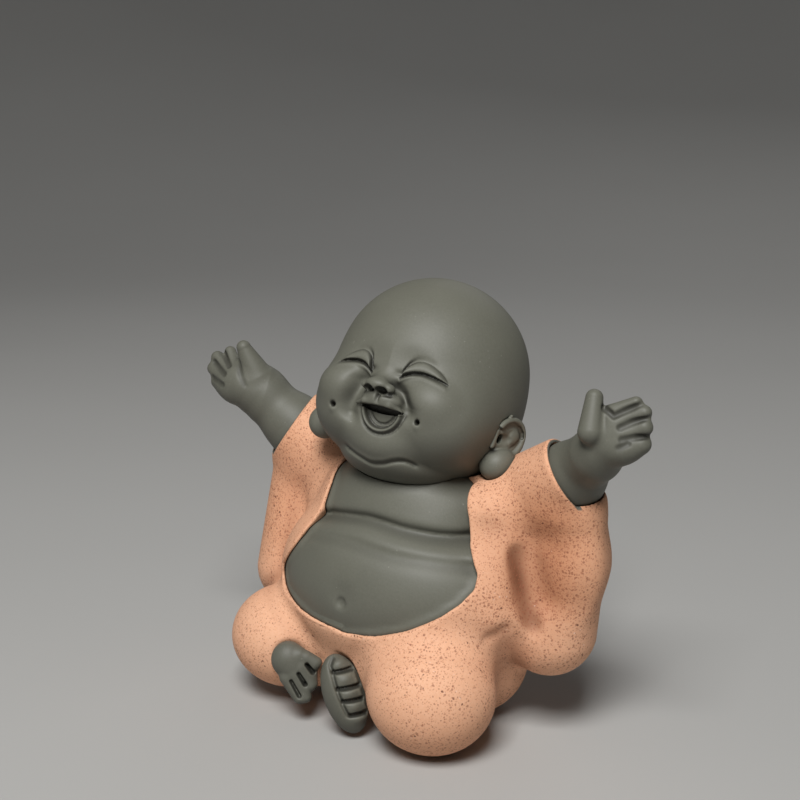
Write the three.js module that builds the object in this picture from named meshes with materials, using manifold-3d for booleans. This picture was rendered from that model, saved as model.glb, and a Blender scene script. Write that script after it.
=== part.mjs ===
// Laughing baby monk figurine, a small unglazed tea-table ornament of fired clay.
// Millimetres, +Z up, the figure looks along -Y and its own left hand is at +X.
// Every piece is a lump of clay: soft balls and rods blended together, then wrapped in a skin.

import * as THREE from 'three'
import { mergeVertices } from 'three/addons/utils/BufferGeometryUtils.js'
import Module from 'manifold-3d'

const wasm = await Module()
wasm.setup()

// Overall sizes
const figureHeight = 82.4
const figureSpan = 103.4
const figureDepth = 49.6

// Sizes of the single pieces
const headRadius = 18.2
const headTurn = 12.5
const headNod = 18.5
const headLean = 6.5
const neckPegRadius = 6.0
const earHoleRadius = 0.8
const bellyHalfWidth = 25
const bellyHalfDepth = 18.8
const robeThickness = 1.1
const openingHalfWidth = 22
const openingBottom = 20.6
const sleeveRadius = 8.8
const armRadius = 6.3
const kneeRadius = 11.4
const wristRadius = 4.6
const fingerRadius = 1.3
const footHalfLength = 7.9
const luteGap = 0.3

// The lumps are laid out for the sizes below and stretched to the overall sizes at the end
const laidOut = new THREE.Vector3(103.4, 49.6, 82.4)
const stretch = new THREE.Vector3(figureSpan, figureDepth, figureHeight).divide(laidOut)

const v = (x, y, z) => new THREE.Vector3(x, y, z)
const rad = THREE.MathUtils.degToRad

// Soft shapes: each gives a distance that is negative inside the clay
const ball = (p, c, r) => {
  const x = p.x - c[0]
  const y = p.y - c[1]
  const z = p.z - c[2]
  const near = Math.hypot(x / r[0], y / r[1], z / r[2])
  const slope = Math.hypot(x / r[0] ** 2, y / r[1] ** 2, z / r[2] ** 2)
  return near * (near - 1) / Math.max(slope, 1e-9)
}
const rod = (p, a, b, ra, rb = ra) => {
  const [dx, dy, dz] = [b[0] - a[0], b[1] - a[1], b[2] - a[2]]
  const along = ((p.x - a[0]) * dx + (p.y - a[1]) * dy + (p.z - a[2]) * dz) / (dx * dx + dy * dy + dz * dz)
  const t = Math.min(1, Math.max(0, along))
  return Math.hypot(p.x - a[0] - t * dx, p.y - a[1] - t * dy, p.z - a[2] - t * dz) - ra - (rb - ra) * t
}
const join = (a, b, k) => {
  const h = Math.max(k - Math.abs(a - b), 0) / k
  return Math.min(a, b) - h * h * k / 4
}
const carve = (a, b, k) => -join(-a, b, k)
const ease = t => {
  const s = Math.min(1, Math.max(0, t))
  return s * s * (3 - 2 * s)
}

// A smooth curve through a few points, and the distance to a chain of straight pieces
const curve = (x, xs, zs) => {
  const last = xs.length - 1
  if (x <= xs[0]) return zs[0]
  if (x >= xs[last]) return zs[last]
  const i = xs.findIndex((edge, k) => k < last && x < xs[k + 1])
  const slope = k => (zs[Math.min(k + 1, last)] - zs[Math.max(k - 1, 0)]) / (k > 0 && k < last ? 2 : 1)
  const f = (x - xs[i]) / (xs[i + 1] - xs[i])
  const rise = zs[i + 1] - zs[i]
  return zs[i] + rise * f * f * (3 - 2 * f) + slope(i) * f * (1 - f) ** 2 - slope(i + 1) * f * f * (1 - f)
}
const chain = (p, ends) => Math.min(...ends.slice(1).map((end, k) => rod(p, ends[k], end, 0)))
const beyond = (x, low, high) => Math.max(low - x, x - high, 0)
const press = (dist, width, depth) => depth * Math.exp(-((dist / width) ** 2))

// A skin around one lump, drawn in from outside along rays from a point inside it
const wrap = (field, centre, pole, rings, segments, gap = 0, spread = t => t, reach = 60, sideways = 0) => {
  const axis = pole.clone().normalize()
  const side = (Math.abs(axis.z) < 0.9 ? v(0, 0, 1) : v(0, 1, 0)).cross(axis).normalize()
  const other = axis.clone().cross(side)
  const points = []
  const place = (polar, turn) => {
    const ray = axis.clone().multiplyScalar(Math.cos(polar))
    ray.addScaledVector(side, Math.sin(polar) * Math.cos(turn))
    ray.addScaledVector(other, Math.sin(polar) * Math.sin(turn))
    let t = reach
    for (let step = 0; step < 160; step += 1) {
      const d = field(centre.clone().addScaledVector(ray, t)) - gap
      t -= d * 0.7
      if (Math.abs(d) < 0.002) break
    }
    const q = centre.clone().addScaledVector(ray, Math.max(t, 0.05))
    points.push(q.x, q.y, q.z)
  }
  place(0, 0)
  for (let i = 1; i < rings; i += 1) {
    for (let j = 0; j < segments; j += 1) {
      const turn = 2 * Math.PI * j / segments
      place(Math.PI * spread(i / rings), turn - sideways * Math.sin(2 * turn))
    }
  }
  place(Math.PI, 0)
  const faces = []
  const at = (i, j) => 1 + (i - 1) * segments + j % segments
  const last = 1 + (rings - 1) * segments
  for (let j = 0; j < segments; j += 1) {
    faces.push(0, at(1, j), at(1, j + 1))
    for (let i = 1; i < rings - 1; i += 1) {
      faces.push(at(i, j), at(i + 1, j), at(i + 1, j + 1))
      faces.push(at(i, j), at(i + 1, j + 1), at(i, j + 1))
    }
    faces.push(at(rings - 1, j), last, at(rings - 1, j + 1))
  }
  return new wasm.Manifold(new wasm.Mesh({
    numProp: 3, vertProperties: new Float32Array(points), triVerts: new Uint32Array(faces)
  }))
}

// A ready-made geometry turned into a solid that can be joined or cut
const solid = geometry => {
  const bare = new THREE.BufferGeometry()
  bare.setAttribute('position', geometry.getAttribute('position'))
  if (geometry.index) bare.setIndex(geometry.index)
  const merged = mergeVertices(bare, 1e-4)
  return new wasm.Manifold(new wasm.Mesh({
    numProp: 3,
    vertProperties: new Float32Array(merged.getAttribute('position').array),
    triVerts: new Uint32Array(merged.index.array)
  }))
}

// Head: round bald skull, heavy jaw, cheeks, shut smiling eyes, button nose, open mouth
const headScale = headRadius / 18.2
const headCentre = v(0.8, 7.4, 43.4 + 19.2 * headScale)
const headBasis = new THREE.Matrix4().makeRotationZ(rad(headTurn))
headBasis.multiply(new THREE.Matrix4().makeRotationX(rad(-headNod)))
headBasis.multiply(new THREE.Matrix4().makeRotationY(rad(headLean)))
const headBack = headBasis.clone().invert()
const intoHead = p => p.clone().sub(headCentre).applyMatrix4(headBack).divideScalar(headScale)
const fromHead = p => p.clone().multiplyScalar(headScale).applyMatrix4(headBasis).add(headCentre)

const skull = (p, m) => {
  let d = ball(p, [0, 1.4, 2.0], [18.2, 18.2, 18.2])
  d = join(d, ball(p, [0, -0.2, -6.5], [16.6, 15.4, 12.6]), 7)
  d = join(d, ball(m, [8.4, -8.6, -6.6], [8.2, 8.6, 8.2]), 4)
  d = join(d, ball(p, [0, -10.4, -12.6], [6.6, 6.2, 4.8]), 3)
  return join(d, ball(p, [0, -5.0, -15.4], [10.8, 9.4, 4.4]), 1.2)
}
const folded = (p, shift) => v(Math.abs(p.x + shift), p.y, p.z)

// Eyes shut in laughter: a swollen upper lid over a curved slit, with a fold above and a cheek below
const lidEdge = [3.1, 3.9, 5.0, 6.5, 8.3, 9.9, 11.2]
const lidTop = [-0.5, 1.5, 2.5, 2.75, 2.15, 1.1, -0.3]
const lidSlit = [-0.9, -0.2, 0.35, 0.6, 0.4, 0.0, -0.5]
const eyes = (p, d, front) => {
  const x = Math.abs(p.x + Math.min(0.95, Math.max(0.1, 0.9 - 0.0875 * (Math.abs(p.x) - 3))))
  const top = curve(x, lidEdge, lidTop)
  const slit = curve(x, lidEdge, lidSlit)
  const share = Math.min(1, Math.max(0, (p.z - slit) / Math.max(top - slit, 0.2)))
  const ends = ease((x - 2.6) / 1.2) * ease((11.6 - x) / 2.4)
  d -= front * ends * 0.62 * Math.sin(Math.PI * share ** 0.8) ** 0.7
  d += front * press(Math.hypot(beyond(x, 3.1, 10.9) * 1.5, p.z - slit), 0.5, 0.55)
  d += front * press(Math.hypot(beyond(x, 3.1, 7.5) * 0.5, p.z - top - 0.3), 0.55, 0.25)
  return d - front * press(Math.hypot(beyond(x, 3.1, 10.9), p.z - slit + 0.9), 0.5, 0.14)
}

// Mouth: upper lip, rings of the lower lip and the tongue, and the laughing slot
const mouth = (p, d, front) => {
  const m = folded(p, 0.5)
  const x = p.x - 0.2
  const r = Math.hypot(x, p.z + 7.2)
  const low = front * ease((-6.9 - p.z) / 0.5)
  d += front * press(Math.hypot(p.x + 0.2, beyond(p.z, -6, -4.6)), 0.38, 0.38)
  d = join(d, rod(m, [0, -18.5, -6.15], [2.4, -18.3, -6.2], 0.62), 0.5)
  d = join(d, rod(m, [2.4, -18.3, -6.2], [4.5, -16.9, -6.8], 0.6, 0.3), 0.5)
  d += low * (press(r - 4.25, 0.35, 0.3) - press(r - 3.65, 0.5, 0.5) + 0.5 * ease((3.35 - r) / 0.35))
  const slot = Math.max(p.z + 6.55 + 0.02 * p.x * p.x, 0.052 * x * x - p.z - 8.05, p.y + 14.8)
  return carve(d, carve(slot, 4.1 - Math.abs(x), 0.5), 0.3)
}
const headField = q => {
  const p = intoHead(q)
  const front = ease((-8 - p.y) / 3)
  let d = skull(p, folded(p, 0))
  d = carve(d, ball(folded(p, 0.75), [5.5, -20.8, 2.4], [5.5, 3.6, 2.6]), 3)
  d = eyes(p, d, front)
  // laughing cheeks and the fold from the nose round the mouth
  const c = folded(p, 0.3)
  d = join(d, ball(c, [8.6, -14.0, -4.2], [4.8, 4.2, 3.9]), 2)
  const fold = curve(p.z, [-10.5, -7.4, -4.3, -1.8], [4.6, 5.4, 4.3, 3.1])
  d += front * press(Math.hypot(c.x - fold, beyond(p.z, -10.2, -2.2)), 1.2, 0.55)
  // muzzle and snub nose
  const n = folded(p, 0.5)
  d = join(d, ball(p, [0.1, -16.6, -5.6], [3.9, 2.6, 1.9]), 0.8)
  d = join(d, rod(n, [0, -17.2, 0.2], [0, -18.2, -1.6], 1.1, 1.4), 2.6)
  d = join(d, ball(n, [0, -19.0, -2.2], [1.75, 1.5, 1.2]), 0.8)
  d = join(d, ball(n, [1.9, -18.3, -2.7], [1.0, 1.15, 0.95]), 0.5)
  d = carve(d, ball(n, [1.15, -19.4, -3.2], [0.8, 1.5, 0.5]), 0.3)
  d = mouth(p, d, front)
  // dimples and the crease of the double chin
  for (const [dx, dz] of [[-9.7, -8.1], [7.4, -7.9]]) {
    d = carve(d, ball(p, [dx, -16.9, dz], [0.55, 1.5, 0.6]), 0.7)
  }
  const chin = curve(p.x, [-7.5, -3, -0.8, 1.6, 5.4, 7.5], [-14.8, -16.3, -16.8, -16.4, -15.1, -15.4])
  d += front * press(Math.hypot(beyond(p.x, -6.6, 6.6) * 0.6, p.z - chin), 0.45, 0.4)
  return d * headScale
}

// Ears: a shallow shell with a fat round lobe, set against the side of the skull
const earBasis = new THREE.Matrix4().makeBasis(v(0.41, 0.91, 0), v(0, 0, 1), v(0.91, -0.41, 0))
const earBack = earBasis.clone().invert()
const earSeat = v(18.7, -1.76, -6.65)
const intoEar = (q, side) => {
  const p = intoHead(q)
  p.x *= side
  p.sub(earSeat).applyMatrix4(earBack)
  p.y -= 0.12 * p.x
  return p
}
const fromEar = (p, side) => {
  const q = v(p.x, p.y + 0.12 * p.x, p.z).applyMatrix4(earBasis).add(earSeat)
  q.x *= side
  return fromHead(q)
}
const earField = side => q => {
  const p = intoEar(q, side)
  let d = ball(p, [0, 0, -0.6], [3.7, 3.8, 1.5])
  const rim = Math.hypot(p.x / 3.3, p.y / 3.35)
  const angle = Math.atan2(p.y, p.x) * 180 / Math.PI
  if (angle > -105 && angle < 150) d = join(d, Math.hypot((rim - 1) * 3.3, p.z - 0.45) - 0.62, 0.35)
  d = join(d, rod(p, [-3.1, 1.2, 0.1], [-3.4, -1.6, 0], 0.55), 0.5)
  d = carve(d, ball(p, [0, 0.1, 1.15], [2.9, 2.9, 0.8]), 0.3)
  d = join(d, ball(p, [1.2, 0.1, 0], [1.5, 1.7, 0.95]), 0.3)
  d = carve(d, ball(p, [-1.2, -0.3, 0.9], [1.5, 1.0, 1.0]), 0.4)
  d = join(d, ball(p, [-0.65, -4.87, -0.37], [3.3, 3.25, 3.2]), 0.4)
  return join(d, rod(p, [3.1, -1.4, 0.2], [1.6, -4.6, 0.4], 0.62), 0.5) * headScale
}

// Torso: big belly, chest and neck, two soft folds over the chest and a navel
const bellyMass = p => join(
  ball(p, [0, 1.5, 25.5], [bellyHalfWidth, bellyHalfDepth, 17.5]),
  ball(p, [0, 4.0, 40.5], [bellyHalfWidth * 0.712, bellyHalfDepth * 0.69, 9.5]), 4)
const upperCrease = x => curve(x, [-16, -9.5, -3.7, 1.1, 7.5, 15.5, 20], [37, 38.5, 39.5, 39.8, 39, 37.9, 37.4])
const lowerCrease = x => curve(x, [-16, -6.5, -1.2, 6.7, 14.5, 22], [34.6, 35.9, 36.1, 35.4, 34.8, 33.4])
const torsoField = p => {
  let d = join(bellyMass(p), rod(p, [0, 5, 44], [0, 6, 52], 12, 10), 4)
  const front = ease((3 - p.y) / 5)
  d += front * (press(p.z - upperCrease(p.x), 1.25, 1.1) + press(p.z - lowerCrease(p.x), 1.3, 0.55))
  d += front * press(Math.hypot((p.x + 0.4) / 2.6, (p.z - 27.6) / 2.2), 1, 0.45)
  return carve(d, ball(p, [-0.5, 0.6 - bellyHalfDepth, 25.9], [1.2, 1.9, 1.1]), 0.9)
}

// Arms: thrown up, with a flat palm, four fingers side by side and a thumb
const mirrored = (p, side) => v(p.x * side, p.y, p.z)
const fingerWay = v(0.81, 0.48, 0.34).normalize()
const palmFacing = v(0.279, -0.822, 0.495).normalize()
const palmFlat = new THREE.Matrix4().makeBasis(fingerWay, palmFacing.clone().cross(fingerWay), palmFacing)
const palmBack = palmFlat.clone().invert()
const armField = side => q => {
  const p = mirrored(q, side)
  let d = rod(p, [27.5, 7.9, 44.5], [32.7, 6.8, 50.0], armRadius, armRadius - 0.3)
  d = join(d, rod(p, [32.7, 6.8, 50.0], [38.9, 3.8, 55.6], armRadius - 0.3, wristRadius), 2)
  const palm = p.clone().sub(v(43.0, 1.3, 60.3 + 0.4 * side)).applyMatrix4(palmBack)
  return join(d, ball(palm, [0, 0, 0], [4.4, 4.7, 2.3]), 2)
}
const fingerTips = side => (side > 0
  ? [[46.4, 3.3, 65.9], [48.9, 2.0, 64.8], [50.0, 0.9, 62.8], [49.3, 1.0, 60.5]]
  : [[46.4, 3.3, 64.8], [48.9, 2.0, 63.4], [50.0, 0.9, 61.0], [49.3, 1.0, 57.9]])
const fingerSkins = side => {
  const skins = fingerTips(side).map((tip, k) => {
    const length = [6.2, 6.6, 6.4, 5.6][k]
    const root = [tip[0] - fingerWay.x * length, tip[1] - fingerWay.y * length, tip[2] - fingerWay.z * length]
    return fingerSkin(side, root, tip, fingerRadius, fingerRadius - 0.08)
  })
  skins.push(fingerSkin(side, [39.7, -0.2, 60.0], [40.5, 0.5, 65.6 + 0.28 * side], fingerRadius + 1, fingerRadius + 0.45))
  return skins
}
const fingerSkin = (side, root, tip, r0, r1) => {
  const field = q => rod(mirrored(q, side), root, tip, r0, r1)
  const middle = v(side * (root[0] + tip[0]) / 2, (root[1] + tip[1]) / 2, (root[2] + tip[2]) / 2)
  const along = v(side * (tip[0] - root[0]), tip[1] - root[1], tip[2] - root[2])
  return wrap(field, middle, along, 8, 8, 0, t => t, 12)
}

// Feet: the left one shows its sole with five toes beside it, the right one its toes from above
const frameOf = (out, along) => {
  const z = out.clone().normalize()
  const x = along.clone().addScaledVector(z, -along.dot(z)).normalize()
  return new THREE.Matrix4().makeBasis(x, z.clone().cross(x), z)
}
const leftFootCentre = v(-0.3, -16.5, 8.8)
const leftFootOut = v(0.601, -0.769, 0.216)
const leftFootBack = frameOf(leftFootOut, v(0.707, 0.638, 0.305)).invert()
const leftFootField = q => {
  const p = q.clone().sub(leftFootCentre).applyMatrix4(leftFootBack)
  const size = footHalfLength / 7.9
  const near = ease((p.z - 0.2) / 1.2)
  let d = ball(p, [-0.1, -0.4, 0], [4.0, footHalfLength, 3.4])
  const flat = v(p.x, p.y / size, 0)
  for (const [y, slope] of [[4.0, -0.15], [0.9, -0.17], [-1.5, -0.2], [-4.3, -0.17]]) {
    const slit = [[-0.5, y, 0], [2.7, y + 3.2 * slope, 0]]
    d += near * press(chain(flat, slit), 0.4, 0.75)
  }
  for (const y of [5.4, 2.3, -0.4, -3.1, -5.6]) {
    d -= near * press(Math.hypot((flat.x - 1.2) / 1.5, (flat.y - y) / 0.8), 1, 0.28)
  }
  d += near * press(chain(flat, [[-0.1, 6.3, 0], [-0.8, 5.3, 0], [-0.9, 0, 0], [-0.5, -4, 0]]), 0.45, 0.5)
  return d + near * 0.4 * ease((p.x - 2.9) / 0.7)
}
const rightFootCentre = v(-11.6, -17.6, 10.2)
const rightFootOut = v(0.601, -0.769, 0.216)
const rightFootBack = frameOf(rightFootOut, v(0.788, 0.616, 0)).invert()
const rightFootField = q => {
  const p = q.clone().sub(rightFootCentre).applyMatrix4(rightFootBack)
  const size = footHalfLength / 7.9
  p.divideScalar(size)
  const near = ease((p.z + 0.4) / 1.0)
  let d = ball(p, [-1.1, 2.0, 0], [3.2, 3.6, 3.2])
  d = join(d, rod(p, [-1.1, 2.0, -0.5], [0.7, -2.4, -0.3], 2.4, 2.0), 1)
  d = join(d, ball(p, [0.9, -0.9, 0.1], [2.6, 2.9, 1.5]), 0.6)
  d = join(d, rod(p, [1.2, 3.0, 0.8], [3.4, 1.5, 0.8], 1.2), 0.6)
  d = join(d, rod(p, [0.9, 1.5, 0.9], [2.9, -1.3, 0.8], 1.2), 0.6)
  d = join(d, rod(p, [-0.2, 0, 0.9], [2.2, -3.0, 0.8], 1.2), 0.6)
  d = join(d, rod(p, [-1.5, -1.5, 0.9], [1.1, -4.8, 0.8], 1.15), 0.6)
  const flat = v(p.x, p.y, 0)
  const slits = [[[2.2, 2.0, 0], [3.5, -0.2, 0]], [[0.55, 0, 0], [1.85, -1.9, 0]], [[-0.55, -1.5, 0], [1.5, -4.3, 0]]]
  slits.forEach(slit => { d += near * press(chain(flat, slit), 0.32, 0.5) })
  return d * size
}

// Robe: a thin cloth over the belly, a broad back, sleeves hanging from both arms, two knees
const robeField = q => {
  const p = v(Math.abs(q.x), q.y, q.z)
  let d = bellyMass(p) - robeThickness
  d = join(d, ball(p, [0, 8.0, 24.0], [bellyHalfWidth + 0.5, 15.5, 22.5]), 6)
  d = join(d, rod(p, [8, 9.0, 28.0], [28, 8.6, 44.5], 8.4, 7.4), 5)
  d = join(d, rod(p, [18, 9.4, 41.0], [33.5, 6.7, 51.0], armRadius + 2.1, armRadius + 0.85), 1.5)
  d = join(d, rod(q, [31, 8.9, 42.0], [28, 8.6, 20.2], sleeveRadius - 2, sleeveRadius), 3)
  d = join(d, rod(q, [-31.3, 8.4, 41.0], [-31.4, 6.0, 20.2], sleeveRadius - 2.2, sleeveRadius - 0.2), 3)
  d = join(d, ball(p, [0, 7.0, 9.0], [22, 14, 12]), 5)
  d = join(d, ball(q, [15.8, -11.4, 11.0], [kneeRadius + 0.6, kneeRadius, 11.0]), 5)
  d = join(d, ball(q, [-20.9, -8.3, 11.3], [kneeRadius + 0.4, kneeRadius - 0.2, 10.8]), 3.5)
  d = join(d, ball(p, [0, -3.0, 9.0], [20, 11, 10.5]), 6)
  // folds of the left sleeve: the raised strip beside the belly, the hollow panel and its edge
  d = join(d, rod(q, [19.5, 2.0, 42.0], [25.5, 1.5, 26.0], 4.6), 5)
  d += press(chain(q, [[33.0, 0.5, 36.5], [33.0, 0.5, 29.0]]), 4.2, 1.2)
  return d - press(chain(q, [[38.6, 6.0, 44.0], [38.6, 6.5, 26.0]]), 2.6, 0.6)
}

// The front opening of the robe, from the neck down round the belly, as a forward prism
const openingPrism = () => {
  const leftSide = [[26.5, 0.70], [21.6, 0.81], [16.8, 0.86], [12.4, 0.99], [10.1, 1.0], [7.8, 0.94], [4.5, 0.75], [1.5, 0.45]]
  const rightSide = [[26.5, 0.61], [23, 0.55], [18.4, 0.55], [12.1, 0.70], [6.8, 0.90], [4.9, 0.92], [3.0, 0.86], [1.0, 0.52]]
  const shape = new THREE.Shape()
  const edge = rightSide.map(([z, x]) => v(-x * openingHalfWidth, openingBottom + z, 0))
  edge.push(v(0, openingBottom, 0))
  leftSide.reverse().forEach(([z, x]) => edge.push(v(x * openingHalfWidth, openingBottom + z, 0)))
  const smooth = new THREE.CatmullRomCurve3(edge, false, 'centripetal').getPoints(64)
  shape.moveTo(smooth[0].x, openingBottom + 45)
  smooth.forEach(p => shape.lineTo(p.x, p.y))
  shape.lineTo(smooth[64].x, openingBottom + 45)
  const prism = new THREE.ExtrudeGeometry(shape, { depth: 60, bevelEnabled: false })
  prism.rotateX(Math.PI / 2)
  prism.translate(0, 3, 0)
  return solid(prism)
}

// A block that trims one sleeve at its mouth, facing the hand
const mouthBlock = side => {
  const facing = v(0.81, 0.23, 0.53).normalize()
  const block = new THREE.BoxGeometry(40, 40, 30)
  block.translate(0, 0, 15)
  block.applyQuaternion(new THREE.Quaternion().setFromUnitVectors(v(0, 0, 1), facing))
  block.translate(32.7, 7.0, 50.3)
  if (side < 0) {
    block.scale(-1, 1, 1)
    block.index.array.reverse()
  }
  return solid(block)
}
const floorBlock = () => {
  const block = new THREE.BoxGeometry(160, 160, 40)
  block.translate(0, 0, -20)
  return solid(block)
}
const between = (a, b, r, sides) => {
  const pin = new THREE.CylinderGeometry(r, r, a.distanceTo(b), sides)
  pin.applyQuaternion(new THREE.Quaternion().setFromUnitVectors(v(0, 1, 0), b.clone().sub(a).normalize()))
  const middle = a.clone().add(b).multiplyScalar(0.5)
  pin.translate(middle.x, middle.y, middle.z)
  return solid(pin)
}

// The skins, each also drawn again one lute gap larger to cut the seat of its neighbour
const facing = fromHead(v(0, -1, -0.16)).sub(headCentre)
const denseFace = t => (t < 0.55 ? 0.4 * t : 0.22 + 0.78 * ((t - 0.55) / 0.45) ** 1.25)
const denseChest = t => (t < 0.6 ? 0.6 * t : 0.36 + 1.6 * (t - 0.6))
const headSkin = gap => wrap(headField, fromHead(v(0, -1, -2)), facing, 34, 52, gap, denseFace)
const torsoSkin = gap => wrap(torsoField, v(0, 3, 29), v(0, 0, 1), 26, 28, gap, denseChest)
const armSkin = (side, gap) => wrap(
  armField(side), v(side * 35.5, 5.2, 52.6), v(side * 0.72, -0.34, 0.6), 18, 18, gap)
const earSkin = (side, gap) => wrap(
  earField(side), fromEar(v(-0.3, -2.4, -0.9), side), fromEar(v(0, 0, 1), side).sub(fromEar(v(0, 0, 0), side)),
  16, 22, gap, t => t, 20)
const footSkins = {
  left: gap => wrap(leftFootField, leftFootCentre, leftFootOut, 18, 30, gap, t => t, 20),
  right: gap => wrap(rightFootField, rightFootCentre, rightFootOut, 17, 28, gap, t => t, 20)
}

const pegFoot = v(0.2, 6, 40)
const pegTop = v(0.6, 6.8, 53)
const neckPeg = between(pegFoot, pegTop, neckPegRadius, 24)
const neckSocket = between(v(0.15, 5.95, 39), pegTop.clone().add(v(0, 0, luteGap)), neckPegRadius + luteGap, 24)
const headGrown = headSkin(luteGap)
const torsoGrown = torsoSkin(luteGap)

const earHole = side => between(
  fromEar(v(-1.9, -0.2, 3), side), fromEar(v(-2.1, -0.2, -3.5), side), earHoleRadius, 12)

const head = headSkin(0).subtract(neckSocket).subtract(earHole(1)).subtract(earHole(-1))
const torso = torsoSkin(0).subtract(headGrown).add(neckPeg)
const ear = side => earSkin(side, 0).subtract(headGrown).subtract(earHole(side))
const arm = side => {
  const whole = fingerSkins(side).reduce((sum, finger) => sum.add(finger), armSkin(side, 0))
  return whole.subtract(torsoGrown).subtract(headGrown).subtract(earSkin(side, luteGap))
}
const footLeft = footSkins.left(0).subtract(floorBlock()).subtract(torsoGrown)
const footRight = footSkins.right(0).subtract(footSkins.left(luteGap)).subtract(floorBlock()).subtract(torsoGrown)

const robeCutters = [
  floorBlock(), torsoGrown, headGrown, neckSocket, armSkin(1, luteGap), armSkin(-1, luteGap),
  footSkins.left(luteGap), footSkins.right(luteGap), earSkin(1, luteGap), earSkin(-1, luteGap),
  openingPrism(), mouthBlock(1), mouthBlock(-1)
]
const robeSkin = wrap(robeField, v(0, 4, 20), v(0, 0, 1), 34, 52, 0, t => t, 60, 0.2)
const robe = robeCutters.reduce((sum, cutter) => sum.subtract(cutter), robeSkin)

// Colours of the two clays
const clay = (name, colour, roughness) => {
  const material = new THREE.MeshStandardMaterial({ color: colour, roughness, metalness: 0 })
  material.name = name
  return material
}
const darkClay = () => clay('dark_clay', 0x4a4c47, 0.82)
const orangeClay = () => clay('orange_clay', 0xd98c66, 0.86)

const group = new THREE.Group()
group.name = 'laughing_monk_figurine'
const put = (name, piece, material) => {
  const { vertProperties, triVerts } = piece.getMesh()
  const geometry = new THREE.BufferGeometry()
  geometry.setAttribute('position', new THREE.BufferAttribute(Float32Array.from(vertProperties), 3))
  geometry.setIndex(new THREE.BufferAttribute(Uint32Array.from(triVerts), 1))
  geometry.scale(stretch.x, stretch.y, stretch.z)
  geometry.computeVertexNormals()
  const mesh = new THREE.Mesh(geometry, material)
  mesh.name = name
  group.add(mesh)
}
put('robe', robe, orangeClay())
put('torso', torso, darkClay())
put('head', head, darkClay())
put('ear_left', ear(1), darkClay())
put('ear_right', ear(-1), darkClay())
put('arm_left', arm(1), darkClay())
put('arm_right', arm(-1), darkClay())
put('foot_left', footLeft, darkClay())
put('foot_right', footRight, darkClay())

// The origin is moved to the middle of the footprint
const box = new THREE.Box3().setFromObject(group)
const middle = box.getCenter(v(0, 0, 0))
group.children.forEach(mesh => mesh.geometry.translate(-middle.x, -middle.y, -box.min.z))

export default group
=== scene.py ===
import math
import bpy
import numpy as np
from mathutils import Matrix, Vector


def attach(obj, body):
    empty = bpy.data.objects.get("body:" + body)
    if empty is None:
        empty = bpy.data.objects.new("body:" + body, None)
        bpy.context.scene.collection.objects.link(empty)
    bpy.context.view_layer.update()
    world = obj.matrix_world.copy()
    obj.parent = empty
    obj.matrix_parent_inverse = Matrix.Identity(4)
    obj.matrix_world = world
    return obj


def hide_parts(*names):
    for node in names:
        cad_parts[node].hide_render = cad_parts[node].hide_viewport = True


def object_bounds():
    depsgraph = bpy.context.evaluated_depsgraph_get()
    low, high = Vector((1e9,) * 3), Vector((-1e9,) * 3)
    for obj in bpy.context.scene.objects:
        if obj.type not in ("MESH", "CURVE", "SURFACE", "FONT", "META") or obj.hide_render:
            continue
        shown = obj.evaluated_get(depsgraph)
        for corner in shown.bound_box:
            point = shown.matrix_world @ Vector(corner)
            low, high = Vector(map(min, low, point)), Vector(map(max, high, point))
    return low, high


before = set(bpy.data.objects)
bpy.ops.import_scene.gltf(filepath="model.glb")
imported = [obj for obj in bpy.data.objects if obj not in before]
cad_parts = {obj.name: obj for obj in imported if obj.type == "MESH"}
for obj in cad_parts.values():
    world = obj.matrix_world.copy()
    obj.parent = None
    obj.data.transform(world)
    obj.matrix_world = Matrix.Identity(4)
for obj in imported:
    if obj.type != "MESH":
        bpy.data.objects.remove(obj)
cad_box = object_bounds()


# The head and its two ears, pressed from one lump of fine dark clay and smoothed wet.
# Skull, jaw and cheeks are soft balls of clay run together; eyes, nose and mouth are
# pressed and cut with a small tool, and the ears are luted on and wiped into the cheek.
def ball(p, centre, radii):
    q = p - np.array(centre, float)
    r = np.array(radii, float)
    near = np.sqrt(((q / r) ** 2).sum(1))
    slope = np.sqrt(((q / r ** 2) ** 2).sum(1))
    return near * (near - 1) / np.maximum(slope, 1e-9)


def rod(p, start, end, r0, r1=None):
    a = np.array(start, float)
    run = np.array(end, float) - a
    t = np.clip((p - a) @ run / (run @ run), 0, 1)
    width = r0 + ((r0 if r1 is None else r1) - r0) * t
    return np.sqrt(((p - a - t[:, None] * run) ** 2).sum(1)) - width


def join(a, b, soft):
    h = np.maximum(soft - np.abs(a - b), 0) / soft
    return np.minimum(a, b) - h * h * soft / 4


def carve(a, b, soft):
    return -join(-a, b, soft)


def ease(t):
    t = np.clip(t, 0, 1)
    return t * t * (3 - 2 * t)


def curve(x, xs, zs):
    """A smooth line through a few points."""
    x = np.clip(x, xs[0], xs[-1])
    at = np.interp(x, xs, np.arange(len(xs)))
    i = np.minimum(at.astype(int), len(xs) - 2)
    f = at - i
    z = np.array(zs, float)
    m = np.gradient(z)
    bend = m[i] * f * (1 - f) ** 2 - m[i + 1] * f * f * (1 - f)
    return z[i] + (z[i + 1] - z[i]) * f * f * (3 - 2 * f) + bend


def chain(p, ends):
    """How far points lie from a line drawn through a few places."""
    return np.min([rod(p, a, b, 0) for a, b in zip(ends[:-1], ends[1:])], 0)


def beyond(x, low, high):
    return np.maximum(np.maximum(low - x, x - high), 0)


def press(dist, width, depth):
    return depth * np.exp(-((dist / width) ** 2))


def turned(p, centre, out, along):
    z = np.array(out, float)
    z /= np.linalg.norm(z)
    x = np.array(along, float)
    x -= z * (x @ z)
    x /= np.linalg.norm(x)
    return (p - np.array(centre, float)) @ np.stack([x, np.cross(z, x), z], 1)


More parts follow.
